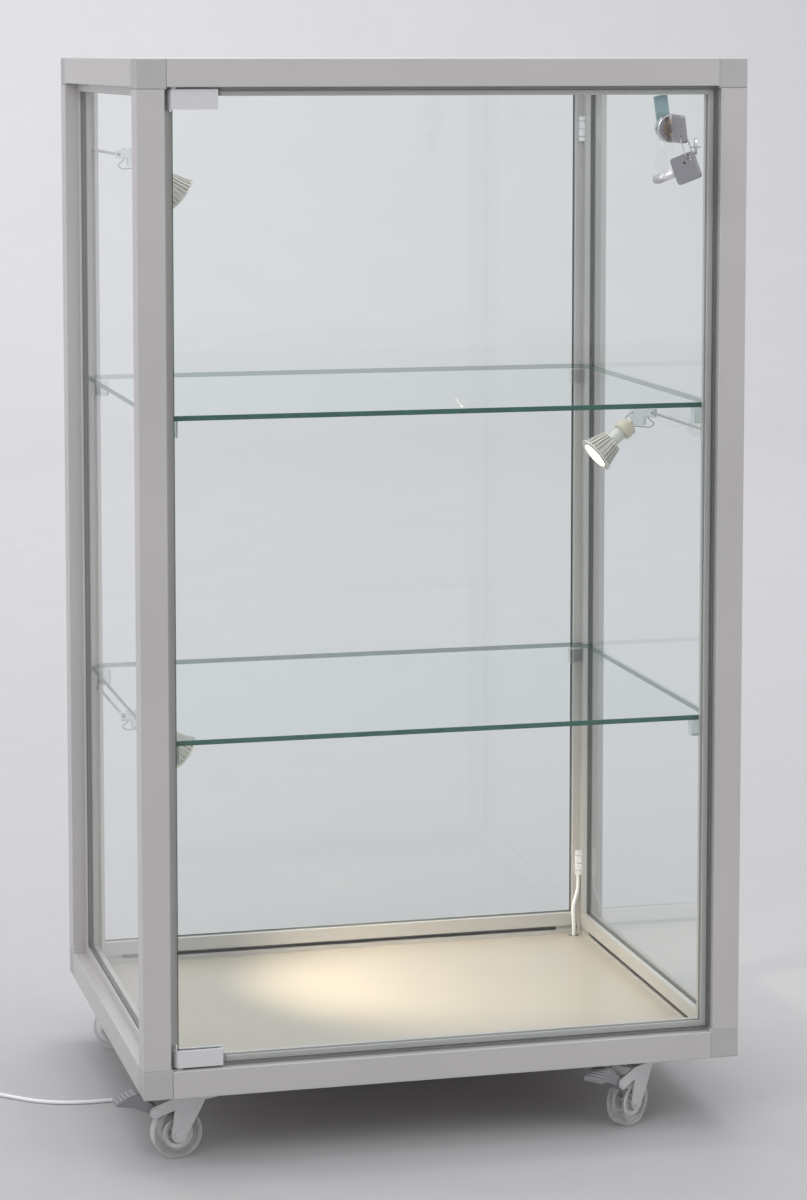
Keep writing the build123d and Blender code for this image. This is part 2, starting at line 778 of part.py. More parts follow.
def make_lamps():
    """Three identical lamps, drawn with the arm's pivot at the origin and the arm along Y."""
    with BuildPart() as clip:
        with Locations((0, -4.25, 0)):
            Box(6.4, 1.5, 7.6)
        with Locations((0, -0.3, 3.05), (0, -0.3, -3.05)):
            Box(6.4, 6.6, 1.5)
        Cylinder(1.25, 7.6)
    with BuildPart() as arm:
        Cylinder(2.9, 4.2)
        with BuildSketch(Plane.XZ):
            Circle(arm_radius)
        extrude(amount=-arm_length)
        Cylinder(1.25 + running_clearance, 10.0, mode=Mode.SUBTRACT)
    with BuildPart() as terminal:
        with Locations((-10.7, arm_length, 0)):
            Box(27.2, 10.0, 9.0)
        with Locations((-15.5, arm_length, -8.2)):
            Box(14.0, 10.0, 7.6)
        with Locations([(x, arm_length, 5.2) for x in (-5.0, -13.0, -21.0)]):
            Cylinder(2.6, 2.4)
        with Locations([(x, arm_length, 6.0) for x in (-5.0, -13.0, -21.0)]):
            Box(4.0, 0.8, 0.9, mode=Mode.SUBTRACT)
        with BuildSketch(Plane.XZ.offset(-(arm_length - 6))):
            Circle(arm_radius + running_clearance)
        extrude(amount=-6.05, mode=Mode.SUBTRACT)
    back = socket_centre - beam * (socket_length / 2)
    front_face = socket_centre + beam * (socket_length / 2)
    with BuildPart() as holder:
        with BuildSketch(Plane(origin=back, z_dir=beam)):
            Circle(10.0)
        extrude(amount=socket_length)
        chamfer(holder.edges(), length=0.8)
        with BuildSketch(Plane(origin=back, z_dir=-beam)):
            Circle(2.5)
        extrude(amount=6.0)
        add(terminal.part, mode=Mode.SUBTRACT)
    bell_start = front_face + beam * neck_length
    with BuildPart() as bulb:
        with BuildSketch(Plane(origin=front_face, z_dir=beam)):
            Circle(7.0)
        extrude(amount=neck_length)
        bell_side = Plane(origin=bell_start, x_dir=beam, z_dir=beam.cross(Vector(0, 1, 0)))
        with BuildSketch(bell_side):
            Polygon((0, 0), (0, 9.5), (bell_length, 15.5), (bell_length, 0), align=None)
        revolve(axis=Axis(bell_start, beam))
        with BuildSketch(Plane(origin=bell_start + beam * (bell_length - 1.6), z_dir=beam)):
            Circle(rim_radius)
        extrude(amount=1.6)
        with BuildSketch(Plane(origin=bell_start + beam * bell_length, z_dir=beam)):
            Circle(14.0)
        extrude(amount=-0.8, mode=Mode.SUBTRACT)
    with BuildPart() as fin:
        with BuildSketch(Plane.XZ):
            Polygon((9, 0), (12.5, 0), (18.8, bell_length - 1), (12, bell_length - 1), align=None)
        extrude(amount=0.5, both=True)
    with BuildPart() as finned_bulb:
        add(bulb.part)
        bell_frame = Plane(origin=bell_start, z_dir=beam)
        for i in range(fins):
            add(bell_frame.from_local_coords(fin.part.rotate(Axis.Z, i * 360 / fins)))
    with BuildPart() as clips:
        for place in lamp_places().values():
            add(clip.part.moved(place))
    save(clips.part, "lamp_post_clips")
    for name, place in lamp_places().items():
        save(arm.part.moved(place), f"lamp_arm_{name}")
        save(terminal.part.moved(place), f"lamp_terminal_{name}")
        save(holder.part.moved(place), f"lamp_holder_{name}")
        save(finned_bulb.part.moved(place), f"lamp_bulb_{name}")


# -------------------------------------------------------------------------------------- castors

def castor_screw_places():
    """Centres of the sixteen castor screws."""
    reach = castor_plate / 2 - 5.5
    return [
        (x + sx * reach, y + sy * reach)
        for x, y, turn in castor_stems.values()
        for sx in signs
        for sy in signs
    ]


def make_castor_mountings():
    """Plates with kingpins, and the screws into the deck."""
    plate_bottom = base_z - plate_thickness
    with BuildPart() as plates:
        for x, y, turn in castor_stems.values():
            with Locations((x, y, plate_bottom + plate_thickness / 2)):
                Box(castor_plate, castor_plate, plate_thickness)
            with Locations((x, y, plate_bottom - 1.25)):
                Cylinder(16.0, 2.5)
            with Locations((x, y, 63.0)):
                Cylinder(kingpin_radius, 13.0)
            with Locations((x, y, 57.7)):
                Cylinder(7.5, 2.4)
        with Locations([(x, y, plate_bottom) for x, y in castor_screw_places()]):
            Cylinder(2.05, 4 * plate_thickness, mode=Mode.SUBTRACT)
    save(plates.part, "castor_plates")
    with BuildPart() as screws:
        with Locations([(x, y, plate_bottom + 6.0) for x, y in castor_screw_places()]):
            Cylinder(2.0, 12.0)
        with Locations([(x, y, plate_bottom - 1.0) for x, y in castor_screw_places()]):
            Cylinder(3.5, 2.0)
        with Locations([(x, y, plate_bottom - 2.0) for x, y in castor_screw_places()]):
            Box(4.0, 0.9, 1.4, mode=Mode.SUBTRACT)
    save(screws.part, "castor_screws")


def leg_outline(with_brake):
    """Side view of a fork leg, with the arm that carries the brake pivot."""
    axle_z = wheel_radius
    with Locations((trail, axle_z)):
        Circle(8.0)
    Polygon((0, 62), (31, 62), (36, axle_z), (20, axle_z), (7, 48), align=None)
    if with_brake:
        with Locations(brake_pivot):
            Circle(6.0)
        Polygon((20, 62), (34, 62), (54, 55.6), (48, 45.5), (33, 50), align=None)


def leg_plane(depth):
    """Plane of the side view at this distance towards +Y."""
    return Plane.XZ.offset(-depth)


def make_castors():
    """Fork, wheel and, at the front, brake pedal of each castor, drawn trailing along +X."""
    outer = leg_inner + leg_thickness
    for name, (x, y, turn) in castor_stems.items():
        with_brake = name.startswith("front")
        place = Location((x, y, 0), (0, 0, turn))
        with BuildPart() as fork:
            for side in signs:
                with BuildSketch(leg_plane(side * (leg_inner + leg_thickness / 2))):
                    leg_outline(with_brake)
                extrude(amount=leg_thickness / 2, both=True)
            with Locations((14.5, 0, 60.8)):
                Box(33.0, 2 * outer, 2.4)
            with Locations((0, 0, 63.2)):
                Cylinder(16.5, 7.2)
            with Locations((0, 0, 60)):
                Cylinder(kingpin_radius + running_clearance, 40.0, mode=Mode.SUBTRACT)
            with BuildSketch(leg_plane(0)):
                with Locations((trail, wheel_radius)):
                    Circle(axle_radius)
            extrude(amount=outer, both=True, mode=Mode.SUBTRACT)
            if with_brake:
                with BuildSketch(leg_plane(0)):
                    with Locations(brake_pivot):
                        Circle(2.0)
                extrude(amount=outer, both=True, mode=Mode.SUBTRACT)
        with BuildPart() as axle:
            with BuildSketch(leg_plane(0)):
                with Locations((trail, wheel_radius)):
                    Circle(axle_radius)
            extrude(amount=outer + 0.5, both=True)
            for side in signs:
                with BuildSketch(leg_plane(side * (outer + 0.75))):
                    with Locations((trail, wheel_radius)):
                        Circle(4.5)
                extrude(amount=0.75, both=True)
            if with_brake:
                with BuildSketch(leg_plane(0)):
                    with Locations(brake_pivot):
                        Circle(2.0)
                extrude(amount=outer + 0.5, both=True)
                for side in signs:
                    with BuildSketch(leg_plane(side * (outer + 0.5))):
                        with Locations(brake_pivot):
                            Circle(4.5)
                    extrude(amount=0.5, both=True)
        fork_pieces = Compound(children=[fork.part, axle.part])
        save(fork_pieces.moved(place), f"castor_fork_{name}")
        with BuildPart() as wheel:
            with BuildSketch(leg_plane(0)):
                with Locations((trail, wheel_radius)):
                    Circle(wheel_radius)
            extrude(amount=wheel_width / 2, both=True)
            fillet(wheel.edges(), radius=5.0)
            for side in signs:
                with BuildSketch(leg_plane(side * wheel_width / 2)):
                    with Locations((trail, wheel_radius)):
                        Circle(16.0)
                        Circle(7.0, mode=Mode.SUBTRACT)
                extrude(amount=3.0, both=True, mode=Mode.SUBTRACT)
            with BuildSketch(leg_plane(0)):
                with Locations((trail, wheel_radius)):
                    Circle(axle_radius + 0.05)
            extrude(amount=wheel_width, both=True, mode=Mode.SUBTRACT)
        save(wheel.part.moved(place), f"castor_wheel_{name}")
        if with_brake:
            make_pedal(place, name)


def make_pedal(place, name):
    """Brake pedal: hub, ribbed tread that slopes down outwards, and the lobe above the wheel."""
    px, pz = brake_pivot
    with BuildPart() as pedal:
        with BuildSketch(leg_plane(0)):
            with Locations(brake_pivot):
                Circle(5.0)
            Polygon(
                (px, pz + 5), (66, 66), (70, 69.2), (76, 68.6), (90, 62), (90, 58.5), (74, 56), (61, 50),
                (px, pz - 5), align=None
            )
            Polygon((px - 5, pz), (px - 5.5, pz - 7), (px - 2, pz - 8), (px + 2, pz - 4.5), align=None)
        extrude(amount=9.0, both=True)
        with BuildSketch(leg_plane(0)):
            with Locations(brake_pivot):
                Circle(5.0)
        extrude(amount=10.2, both=True)
        with BuildSketch(leg_plane(0)):
            with Locations([(76.5 + 3.6 * i, 68.6 - 1.7 * i) for i in range(4)]):
                Rectangle(1.6, 2.4, rotation=-25)
        extrude(amount=20.0, both=True, mode=Mode.SUBTRACT)
        with BuildSketch(leg_plane(0)):
            with Locations(brake_pivot):
                Circle(2.05)
        extrude(amount=20.0, both=True, mode=Mode.SUBTRACT)
    save(pedal.part.moved(place), f"brake_pedal_{name}")


# ---------------------------------------------------------------------------------------- build

for sx, side_name in zip(signs, ("left", "right")):
    for sy, end_name in zip(signs, ("front", "back")):
        make_post(f"post_{end_name}_{side_name}", sx, sy)
make_rails("top_rails", top_z, -1)
make_rails("bottom_rails", base_z, 1)
make_corner_cubes()
make_panes()
make_seals()
make_shelves()
make_door()
make_clamps()
make_clamp_small_parts()
make_lock()
make_key(door_key_plane, lower_hole, "door_key")
make_key(spare_key_plane, upper_hole, "spare_key")
make_key_ring()
make_deck()
make_shelf_supports()
make_feed()
make_supply()
make_lamps()
make_castor_mountings()
make_castors()
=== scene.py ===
import json
import math

import bmesh
import bpy
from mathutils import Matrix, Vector


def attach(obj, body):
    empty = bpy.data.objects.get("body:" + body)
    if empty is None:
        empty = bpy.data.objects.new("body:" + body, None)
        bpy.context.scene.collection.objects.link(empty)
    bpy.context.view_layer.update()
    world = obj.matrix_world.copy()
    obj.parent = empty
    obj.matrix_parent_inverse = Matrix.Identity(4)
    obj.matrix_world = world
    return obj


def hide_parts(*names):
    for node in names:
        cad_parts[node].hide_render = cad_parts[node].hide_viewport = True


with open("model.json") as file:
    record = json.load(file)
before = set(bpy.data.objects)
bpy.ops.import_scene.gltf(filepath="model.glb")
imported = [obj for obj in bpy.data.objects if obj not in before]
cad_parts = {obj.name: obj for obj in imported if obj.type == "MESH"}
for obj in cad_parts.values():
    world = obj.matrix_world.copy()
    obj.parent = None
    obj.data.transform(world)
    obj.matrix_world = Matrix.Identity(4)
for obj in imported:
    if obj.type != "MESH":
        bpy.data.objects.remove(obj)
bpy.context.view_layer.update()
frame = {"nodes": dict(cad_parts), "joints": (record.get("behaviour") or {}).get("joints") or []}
nodes = frame["nodes"]
scene = bpy.context.scene

MM = 0.001
CENTRING = Vector((11.0, 17.5, 0.0))
EYE = (-829.7, -3349.6, 1076.2)
EYE_YAW = 14.167
EYE_PITCH = -5.626
LENS = 100.57
FRAMING_SHIFT = -0.18
EVEN = (1, 1, 1)


def place(x, y, z):
    """A point in the model's frame, in metres, from millimetres about the middle of the showcase."""
    return (Vector((x, y, z)) + CENTRING) * MM


# --------------------------------------------------------------------------------------- camera

def make_camera():
    """The eye stands to the left of the door, a little above the top of the showcase."""
    yaw = math.radians(EYE_YAW)
    pitch = math.radians(EYE_PITCH)
    look = Vector((math.sin(yaw) * math.cos(pitch), math.cos(yaw) * math.cos(pitch), math.sin(pitch)))
    data = bpy.data.cameras.new("camera")
    data.lens = LENS
    data.sensor_width = 36.0
    data.shift_y = FRAMING_SHIFT
    data.clip_end = 50.0
    camera = bpy.data.objects.new("camera", data)
    camera.location = place(*EYE)
    camera.rotation_euler = look.to_track_quat("-Z", "Y").to_euler()
    scene.collection.objects.link(camera)
    scene.camera = camera


make_camera()


# ------------------------------------------------------------------------------------ materials

BROAD_SCALE = 6.0
GRAIN_HEIGHT = 0.0002
# Above this, a face's own normal counts as lying along the thin direction of a sheet
FACE_LIMIT = 0.9
HEAD_ON_SHINE = 0.06
EDGE_ON_SHINE = 0.8
SHINE_POWER = 5.0
EDGE_CLEAR = (0.55, 0.78, 0.70, 1)


def new_material(name):
    """An empty node material, its tree and its output."""
    material = bpy.data.materials.new(name)
    material.use_nodes = True
    tree = material.node_tree
    tree.nodes.clear()
    output = tree.nodes.new("ShaderNodeOutputMaterial")
    return material, tree, output


def add_node(tree, kind, **values):
    """Add a node, set its properties and then its inputs."""
    node = tree.nodes.new("ShaderNode" + kind)
    for key, value in values.items():
        if hasattr(node, key):
            setattr(node, key, value)
        else:
            node.inputs[key.replace("_", " ")].default_value = value
    return node


def object_coordinates(tree, scale):
    """Object coordinates stretched by a scale for each axis."""
    coordinates = add_node(tree, "TexCoord")
    mapping = add_node(tree, "Mapping")
    mapping.inputs["Scale"].default_value = scale
    tree.links.new(coordinates.outputs["Object"], mapping.inputs["Vector"])
    return mapping.outputs["Vector"]


def noise(tree, scale, detail, stretch=EVEN):
    """Noise in object space."""
    texture = add_node(tree, "TexNoise")
    texture.inputs["Scale"].default_value = scale
    texture.inputs["Detail"].default_value = detail
    tree.links.new(object_coordinates(tree, stretch), texture.inputs["Vector"])
    return texture.outputs["Fac"]


def ramp(tree, factor, low, high, start=0.3, end=0.7):
    """Blend two colours, or two greys, by a factor."""
    node = add_node(tree, "ValToRGB")
    node.color_ramp.elements[0].position = start
    node.color_ramp.elements[1].position = end
    node.color_ramp.elements[0].color = (*low, 1)
    node.color_ramp.elements[1].color = (*high, 1)
    tree.links.new(factor, node.inputs["Fac"])
    return node.outputs["Color"]


def bump(tree, height, strength, distance):
    """A bump from a height."""
    node = add_node(tree, "Bump")
    node.inputs["Strength"].default_value = strength
    node.inputs["Distance"].default_value = distance
    tree.links.new(height, node.inputs["Height"])
    return node.outputs["Normal"]


def solid_material(name, colour, metallic, roughness, variation, grain, stretch=EVEN, bump_strength=0.15,
                   coat=0.0, rough_spread=0.08):
    """A surface with slight changes of colour, gloss and height at the scale of its grain."""
    material, tree, output = new_material(name)
    shader = add_node(tree, "BsdfPrincipled")
    dark = tuple(c * (1 - variation) for c in colour)
    light = tuple(min(1.0, c * (1 + variation)) for c in colour)
    fine = noise(tree, grain, 6.0, stretch)
    broad = noise(tree, BROAD_SCALE, 3.0)
    tree.links.new(ramp(tree, broad, dark, light), shader.inputs["Base Color"])
    low = (max(0.02, roughness - rough_spread),) * 3
    high = (min(1.0, roughness + rough_spread),) * 3
    tree.links.new(ramp(tree, fine, low, high), shader.inputs["Roughness"])
    tree.links.new(bump(tree, fine, bump_strength, GRAIN_HEIGHT), shader.inputs["Normal"])
    shader.inputs["Metallic"].default_value = metallic
    shader.inputs["Coat Weight"].default_value = coat
    tree.links.new(shader.outputs["BSDF"], output.inputs["Surface"])
    return material


def edge_mask(tree, axis):
    """1 on the narrow edge faces of a sheet whose thin direction is the axis, else 0."""
    surface = add_node(tree, "TexCoord")
    parts = add_node(tree, "SeparateXYZ")
    tree.links.new(surface.outputs["Normal"], parts.inputs["Vector"])
    size = add_node(tree, "Math", operation="ABSOLUTE")
    tree.links.new(parts.outputs[axis], size.inputs[0])
    test = add_node(tree, "Math", operation="LESS_THAN")
    test.inputs[1].default_value = FACE_LIMIT
    tree.links.new(size.outputs[0], test.inputs[0])
    return test.outputs[0]


def glass_material(name, axis, tint, edge_colour, edge_share):
    """Clear sheet glass with coloured edges, and faint smears in the shine of its outer faces."""
    material, tree, output = new_material(name)
    clear = add_node(tree, "BsdfTransparent", Color=(*tint, 1))
    mirror = add_node(tree, "BsdfPrincipled")
    mirror.inputs["Base Color"].default_value = (1, 1, 1, 1)
    mirror.inputs["Metallic"].default_value = 1.0
    smears = noise(tree, 9.0, 5.0, (1, 1, 0.4))
    tree.links.new(ramp(tree, smears, (0.01,) * 3, (0.06,) * 3), mirror.inputs["Roughness"])
    facing = add_node(tree, "LayerWeight")
    steep = add_node(tree, "Math", operation="POWER")
    steep.inputs[1].default_value = SHINE_POWER
    tree.links.new(facing.outputs["Facing"], steep.inputs[0])
    shine = add_node(tree, "Math", operation="MULTIPLY_ADD")
    shine.inputs[1].default_value = EDGE_ON_SHINE
    shine.inputs[2].default_value = HEAD_ON_SHINE
    tree.links.new(steep.outputs[0], shine.inputs[0])
    side = add_node(tree, "NewGeometry")
    outside = add_node(tree, "Math", operation="SUBTRACT")
    outside.inputs[0].default_value = 1.0
    tree.links.new(side.outputs["Backfacing"], outside.inputs[1])
    outer_shine = add_node(tree, "Math", operation="MULTIPLY")
    tree.links.new(shine.outputs[0], outer_shine.inputs[0])
    tree.links.new(outside.outputs[0], outer_shine.inputs[1])
    face = add_node(tree, "MixShader")
    tree.links.new(outer_shine.outputs[0], face.inputs["Fac"])
    tree.links.new(clear.outputs["BSDF"], face.inputs[1])
    tree.links.new(mirror.outputs["BSDF"], face.inputs[2])
    edge = add_node(tree, "BsdfPrincipled")
    streaks = noise(tree, 60.0, 3.0)
    darker = tuple(c * 0.75 for c in edge_colour)
    tree.links.new(ramp(tree, streaks, darker, edge_colour), edge.inputs["Base Color"])
    edge.inputs["Roughness"].default_value = 0.12
    edge_mix = add_node(tree, "MixShader")
    edge_mix.inputs["Fac"].default_value = edge_share
    edge_clear = add_node(tree, "BsdfTransparent", Color=EDGE_CLEAR)
    tree.links.new(edge_clear.outputs["BSDF"], edge_mix.inputs[1])
    tree.links.new(edge.outputs["BSDF"], edge_mix.inputs[2])
    both = add_node(tree, "MixShader")
    tree.links.new(edge_mask(tree, axis), both.inputs["Fac"])
    tree.links.new(face.outputs["Shader"], both.inputs[1])
    tree.links.new(edge_mix.outputs["Shader"], both.inputs[2])
    tree.links.new(both.outputs["Shader"], output.inputs["Surface"])
    return material


def clear_plastic_material(name, colour, cover, roughness=0.12):
    """Clear moulded plastic: partly see-through, glossy, with a slightly uneven body."""
    material, tree, output = new_material(name)
    clear = add_node(tree, "BsdfTransparent", Color=(*(min(1, c * 1.1) for c in colour), 1))
    body = add_node(tree, "BsdfPrincipled")
    uneven = noise(tree, 90.0, 4.0)
    tree.links.new(ramp(tree, uneven, tuple(c * 0.85 for c in colour), colour), body.inputs["Base Color"])
    body.inputs["Roughness"].default_value = roughness
    tree.links.new(bump(tree, uneven, 0.25, 0.0004), body.inputs["Normal"])
    facing = add_node(tree, "LayerWeight")
    facing.inputs["Blend"].default_value = cover
    mix = add_node(tree, "MixShader")
    tree.links.new(facing.outputs["Facing"], mix.inputs["Fac"])
    tree.links.new(clear.outputs["BSDF"], mix.inputs[1])
    tree.links.new(body.outputs["BSDF"], mix.inputs[2])
    tree.links.new(mix.outputs["Shader"], output.inputs["Surface"])
    return material


def glow_material(name, colour, strength):
    """The lit face of a lamp, a little uneven where its light points are."""
    material, tree, output = new_material(name)
    light = add_node(tree, "Emission")
    cells = add_node(tree, "TexVoronoi")
    cells.inputs["Scale"].default_value = 220.0
    tree.links.new(object_coordinates(tree, EVEN), cells.inputs["Vector"])
    warm = tuple(c * f for c, f in zip(colour, (1.0, 0.93, 0.8)))
    tree.links.new(ramp(tree, cells.outputs["Distance"], colour, warm, 0.1, 0.8), light.inputs["Color"])
    light.inputs["Strength"].default_value = strength
    tree.links.new(light.outputs["Emission"], output.inputs["Surface"])
    return material


# Draw marks run up the posts
UPRIGHT_DRAW = (30, 30, 0.4)
ANODISED = (0.52, 0.505, 0.49)
materials = {
    "post": solid_material("anodised_post", ANODISED, 0.35, 0.46, 0.03, 40.0, UPRIGHT_DRAW, 0.08, coat=0.25),
    "rail": solid_material("anodised_rail", ANODISED, 0.35, 0.46, 0.03, 300.0, EVEN, 0.06, coat=0.25),
    "cube": solid_material("anodised_cube", (0.43, 0.435, 0.42), 0.2, 0.5, 0.04, 350.0, EVEN, 0.1),
    "seal": solid_material("seal_rubber", (0.20, 0.21, 0.20), 0.0, 0.7, 0.1, 200.0),
    "deck": solid_material("deck_laminate", (0.46, 0.41, 0.35), 0.0, 0.38, 0.03, 500.0, EVEN, 0.12, coat=0.2),
    "clamp": solid_material("clamp_satin", (0.70, 0.70, 0.71), 0.55, 0.3, 0.02, 160.0, EVEN, 0.015,
                            rough_spread=0.03),
    "steel": solid_material("zinc_steel", (0.58, 0.58, 0.58), 0.85, 0.32, 0.08, 160.0, EVEN, 0.15),
    "fork": solid_material("fork_zinc", (0.60, 0.60, 0.60), 0.5, 0.36, 0.06, 140.0, EVEN, 0.12),
    "chrome": solid_material("lock_chrome", (0.62, 0.62, 0.62), 0.95, 0.18, 0.06, 200.0, EVEN, 0.1),
    "brass": solid_material("lock_brass", (0.52, 0.45, 0.37), 0.95, 0.28, 0.12, 260.0, EVEN, 0.3),
    "cam": solid_material("cam_plate", (0.33, 0.47, 0.50), 0.3, 0.42, 0.05, 240.0, EVEN, 0.2),
    "key_head": solid_material("key_plastic", (0.27, 0.265, 0.285), 0.0, 0.42, 0.06, 500.0, EVEN, 0.35),
    "white": solid_material("white_plastic", (0.80, 0.80, 0.81), 0.0, 0.3, 0.03, 300.0),
    "ceramic": solid_material("ceramic_beige", (0.60, 0.54, 0.43), 0.0, 0.35, 0.08, 180.0, coat=0.3),
    "heat_sink": solid_material("heat_sink", (0.66, 0.64, 0.59), 0.25, 0.38, 0.05, 200.0),
    "pedal": solid_material("pedal_plastic", (0.22, 0.22, 0.23), 0.0, 0.45, 0.08, 400.0, EVEN, 0.3),
    "hub": solid_material("hub_grey", (0.55, 0.55, 0.54), 0.3, 0.35, 0.08, 300.0),
    "shaft": solid_material("key_shaft", (0.80, 0.79, 0.82), 0.5, 0.3, 0.03, 300.0, EVEN, 0.1),
    "dark_disc": solid_material("dark_mark", (0.02, 0.02, 0.02), 0.0, 0.5, 0.2, 300.0),
    "wire": solid_material("wire_grey", (0.35, 0.35, 0.36), 0.3, 0.4, 0.05, 300.0),
    "terminal": clear_plastic_material("terminal_clear", (0.80, 0.82, 0.82), 0.55),
    "support": clear_plastic_material("support_clear", (0.74, 0.77, 0.76), 0.55, 0.3),
    "tyre": clear_plastic_material("tyre_clear", (0.86, 0.86, 0.86), 0.3, 0.08),
    "lens": glow_material("lamp_lens", (1.0, 0.93, 0.74), 14.0),
}
PANE_TINT = (0.980, 0.994, 0.990)
PANE_EDGE = (0.09, 0.15, 0.125)
# Door glass edges: near black, partly the glass edge's own colour and partly painted shade for the dark gaps round the
# door
DOOR_EDGE_AND_GAP_SHADE = (0.055, 0.055, 0.045)
SHELF_TINT = (0.972, 0.992, 0.986)
SHELF_EDGE = (0.035, 0.13, 0.10)
# The sheets, with the thin direction of each
SHEETS = {"top_glass": "Z", "left_glass": "X", "right_glass": "X", "back_glass": "Y", "glass_door": "Y"}
for node, axis in SHEETS.items():
    edge = DOOR_EDGE_AND_GAP_SHADE if node == "glass_door" else PANE_EDGE
    materials[node] = glass_material(node + "_clear", axis, PANE_TINT, edge, 0.85)
materials["shelf"] = glass_material("shelf_clear", "Z", SHELF_TINT, SHELF_EDGE, 1.0)


def finish_nodes():
    """Give every CAD node its material."""
    kinds = {
        "post_": "post", "bottom_rails": "rail", "top_rails": "rail", "corner_cubes": "cube",
        "glazing_seals": "seal", "hinge_clamp_pads": "seal", "cable_grommet": "seal", "base_deck": "deck",
        "upper_hinge_clamp": "clamp", "lower_hinge_clamp": "clamp", "hinge_pins": "steel",
        "hinge_clamp_screws": "steel", "castor_plates": "steel", "castor_screws": "steel", "key_ring": "steel",
        "lock_nut": "steel", "lock_housing": "chrome", "lock_cylinder": "brass", "lock_cam": "cam",
        "door_key": "key_head", "spare_key": "key_head", "upper_shelf": "shelf", "lower_shelf": "shelf",
        "shelf_supports": "support", "feed_": "white", "power_": "white", "castor_fork": "fork",
        "castor_wheel": "tyre", "brake_pedal": "pedal", "lamp_post_clips": "steel", "lamp_arm": "steel",
        "lamp_terminal": "terminal", "lamp_holder": "ceramic", "lamp_bulb": "heat_sink",
    }
    for name, cad in nodes.items():
        material = materials.get(name)
        if material is None:
            material = next(materials[kind] for start, kind in kinds.items() if name.startswith(start))
        cad.data.materials.clear()
        cad.data.materials.append(material)


finish_nodes()


# ----------------------------------------------------------------------------------------- cord

LEAD_RADIUS = 2.0
COIL_CENTRE = (-452.0, 40.0)
COIL_RADIUS = 22.0
COIL_TURNS = 8
LEAD_ROUTE = [
    (266, 204, 78),
    (266, 204, 54),
    (275, 195, 19),
    (285, 168, 2),
    (281, 134, 2),
    (258, 101, 2),
    (217, 80, 2),
    (166, 60, 2),
    (112, 46, 2),
    (56, 37, 2),
    (1, 32, 2),
    (-55, 29, 2),
    (-110, 24, 2),
    (-166, 15, 2),
    (-222, 4, 2),
    (-278, -8, 2),
    (-332, -10, 2),
    (-368, 2, 2),
    (-396, 27, 2),
    (-423, 52, 2.5),
]
# How far each turn lies from the middle of the bundle, outwards and up from the floor
TURN_PLACES = [
    (-4.2, 2.2), (-0.2, 2.0), (4.0, 2.1), (2.2, 5.6), (-2.0, 5.5), (-4.3, 8.9), (0.1, 9.2), (4.1, 9.0), (0.0, 10.8),
]
TURN_STEPS = 14
# The share of a turn after which it moves to the place of the next
TURN_CHANGE = 0.6


def coil_points():
    """The put-away turns, each beside or on the one before."""
    points = []
    for step in range(COIL_TURNS * TURN_STEPS):
        turn, part = divmod(step, TURN_STEPS)
        angle = math.radians(90) + 2 * math.pi * step / TURN_STEPS
        share = max(0.0, (part - TURN_STEPS * TURN_CHANGE) / (TURN_STEPS * 0.4))
        out = TURN_PLACES[turn][0] * (1 - share) + TURN_PLACES[turn + 1][0] * share
        up = TURN_PLACES[turn][1] * (1 - share) + TURN_PLACES[turn + 1][1] * share
        radius = COIL_RADIUS + out
        x = COIL_CENTRE[0] + radius * math.cos(angle)
        y = COIL_CENTRE[1] + radius * math.sin(angle)
        points.append((x, y, up))
    return points


def make_lead():
    """The white low-voltage lead: over the floor, round its coil and into the adapter."""
    tail_y = COIL_CENTRE[1] + COIL_RADIUS
    tail = [(COIL_CENTRE[0] - 6, tail_y, 10), (COIL_CENTRE[0] - 26, tail_y, 7.2), (COIL_CENTRE[0] - 42, tail_y, 6.5)]
    route = LEAD_ROUTE + coil_points() + tail
    curve = bpy.data.curves.new("supply_lead", "CURVE")
    curve.dimensions = "3D"
    spline = curve.splines.new("NURBS")
    spline.points.add(len(route) - 1)
    for point, spot in zip(spline.points, route):
        point.co = (*place(*spot), 1.0)
    spline.order_u = 3
    spline.use_endpoint_u = True
    spline.resolution_u = 8
    curve.bevel_depth = LEAD_RADIUS * MM
    curve.bevel_resolution = 5
    curve.use_fill_caps = True
    lead = bpy.data.objects.new("supply_lead", curve)
    scene.collection.objects.link(lead)
    curve.materials.append(materials["white"])
    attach(lead, "case")
    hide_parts("power_lead", "power_lead_coil")


make_lead()


# ---------------------------------------------------------------------------------------- lamps

# Each lamp's millimetres start at its arm's pivot; the right lamp's arm runs along +Y
BEAM = Vector((-0.781, -0.081, -0.617)).normalized()
SOCKET = Vector((-30, 163, -16))
FACE_REACH = 43.0
LENS_DEPTH = 0.75
LAMPS = {
    "right": (272.3, -208.0, 704.0, 1),
    "upper_left": (-272.3, 208.0, 974.0, -1),
    "lower_left": (-272.3, 208.0, 392.0, -1),
}
DOME = [(13.9, 0.0), (13.9, 0.35), (12.5, 0.75), (9.0, 1.25), (4.5, 1.55), (0.6, 1.65)]
BEZEL = [(13.95, 0.05), (13.95, 0.9), (14.6, 1.5), (15.6, 1.5), (16.2, 0.85), (16.2, 0.8), (14.2, 0.0)]
WIRE_RADIUS = 0.55
WIRES = [
    [(-22, 161, 1), (-25.5, 160, 1), (-28.5, 160, -2), (-32, 161, -6), (-32, 163, -9.5)],
    [(-6.1, 161, -4), (-4, 160, -8), (0.8, 160, -9.5), (0.6, 160.5, -12), (-2.6, 161, -14.8),
     (-7, 161.5, -15), (-12, 162, -14), (-18, 163, -13.6), (-24, 163, -13.5)],
]
SPOT_COLOUR = (1.0, 0.84, 0.60)


def lamp_point(name, local):
    """A point of a lamp, from its own millimetres; the left lamps are turned half round."""
    x, y, z, side = LAMPS[name]
    return place(x + side * local[0], y + side * local[1], z + local[2])


def lamp_direction(name, local):
    """A direction of a lamp."""
    side = LAMPS[name][3]
    return Vector((side * local[0], side * local[1], local[2]))


